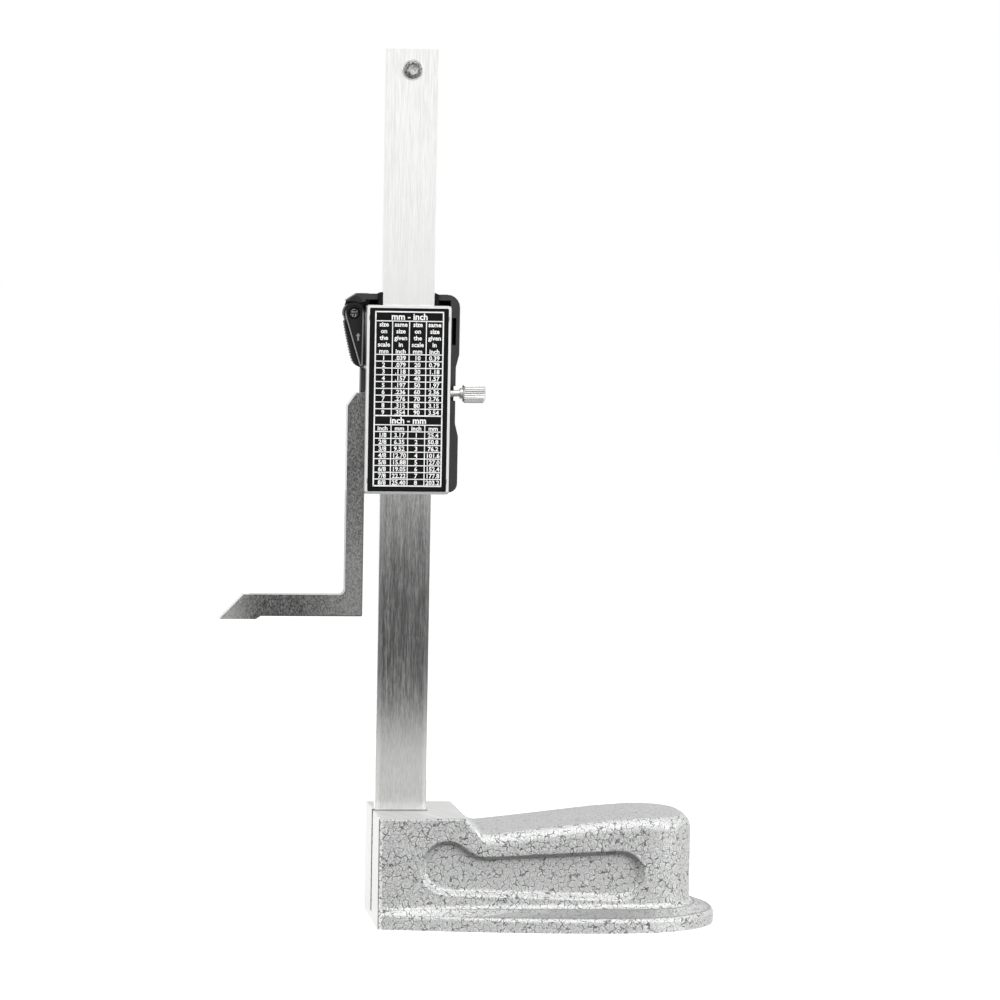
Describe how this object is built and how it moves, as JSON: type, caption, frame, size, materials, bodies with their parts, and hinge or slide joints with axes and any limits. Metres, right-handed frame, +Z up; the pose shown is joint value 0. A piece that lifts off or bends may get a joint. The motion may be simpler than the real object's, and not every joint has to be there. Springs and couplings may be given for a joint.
{
  "type": "digital height gauge",
  "caption": "Single-beam digital height gauge: cast base with sloping handle, upright flat beam, and a display slider with lock screw and L-shaped scriber arm.",
  "frame": {"origin": "on the ground sole of the base, directly under the beam's centre line", "axes": "+Z up along the beam, +X along the base from the beam to its tail (the scriber points to -X), +Y towards the display side"},
  "size_m": [0.1565, 0.06, 0.2704],
  "materials": {
    "hammer_paint": "silver-grey hammered paint, machined faces bare",
    "beam_steel": "brushed along the beam",
    "ground_steel": "ground and blasted, matt",
    "hard_tip": "ground hard tip",
    "bright_screw": "plated",
    "dark_screw": "oiled black",
    "lock_chrome": "polished plating over a straight knurl",
    "printed_sheet": "black print with a white table",
    "black_plastic": "moulded, fine grain",
    "black_felt": "soft black guard",
    "scale_board": "etched board",
    "scale_film": "printed film",
    "gib_brass": "drawn strip",
    "green_board": "solder mask",
    "sealed_chip": "poured resin",
    "lcd": "reflective display",
    "contact_rubber": "striped contact rubber",
    "clear_window": "clear plastic",
    "button_rubber": "translucent pad",
    "button_plastic": "grey moulded caps",
    "cell_steel": "plated can",
    "contact_brass": "spring strip"
  },
  "bodies": {
    "stand": {"base_casting": "hammer_paint", "beam": "beam_steel", "scale_strip": "scale_board", "scale_face": "scale_film", "beam_clamp_screws": "dark_screw", "stop_screw": "dark_screw", "stop_washer": "bright_screw"},
    "slider": {"slider_frame": "ground_steel", "scriber_tip": "hard_tip", "chart_label": "printed_sheet", "case_screws": "bright_screw", "gib_strip": "gib_brass", "gib_screws": "dark_screw", "front_housing": "black_plastic", "display_window": "clear_window", "sensor_board": "green_board", "controller_chip": "sealed_chip", "lcd_panel": "lcd", "lcd_contact": "contact_rubber", "button_pad": "button_rubber", "battery": "cell_steel", "battery_contacts": "contact_brass", "door_screw": "bright_screw", "beam_wiper": "black_felt"},
    "lock_screw": {"lock_screw": "lock_chrome"},
    "mm_inch_button": {"mm_inch_button": "button_plastic"},
    "on_off_button": {"on_off_button": "button_plastic"},
    "zero_button": {"zero_button": "button_plastic"},
    "battery_door": {"battery_door": "black_plastic"}
  },
  "joints": [
    {"name": "slider_travel", "type": "slide", "parent": "stand", "child": "slider", "axis": [0, 0, 1], "range_m": [-0.094, 0.069]},
    {"name": "lock_screw_turn", "type": "hinge", "parent": "slider", "child": "lock_screw", "pos_m": [0.02, 0, 0.1644], "axis": [-1, 0, 0], "range_deg": [0, 360]},
    {"name": "mm_inch_button_press", "type": "slide", "parent": "slider", "child": "mm_inch_button", "axis": [0, -1, 0], "range_m": [0, 0.0006], "stiffness_N_per_m": 1500},
    {"name": "on_off_button_press", "type": "slide", "parent": "slider", "child": "on_off_button", "axis": [0, -1, 0], "range_m": [0, 0.0006], "stiffness_N_per_m": 1500},
    {"name": "zero_button_press", "type": "slide", "parent": "slider", "child": "zero_button", "axis": [0, -1, 0], "range_m": [0, 0.0006], "stiffness_N_per_m": 1500},
    {"name": "battery_door_swing", "type": "hinge", "parent": "slider", "child": "battery_door", "pos_m": [-0.0169, 0, 0.1889], "axis": [0, 1, 0], "range_deg": [0, 100]}
  ]
}
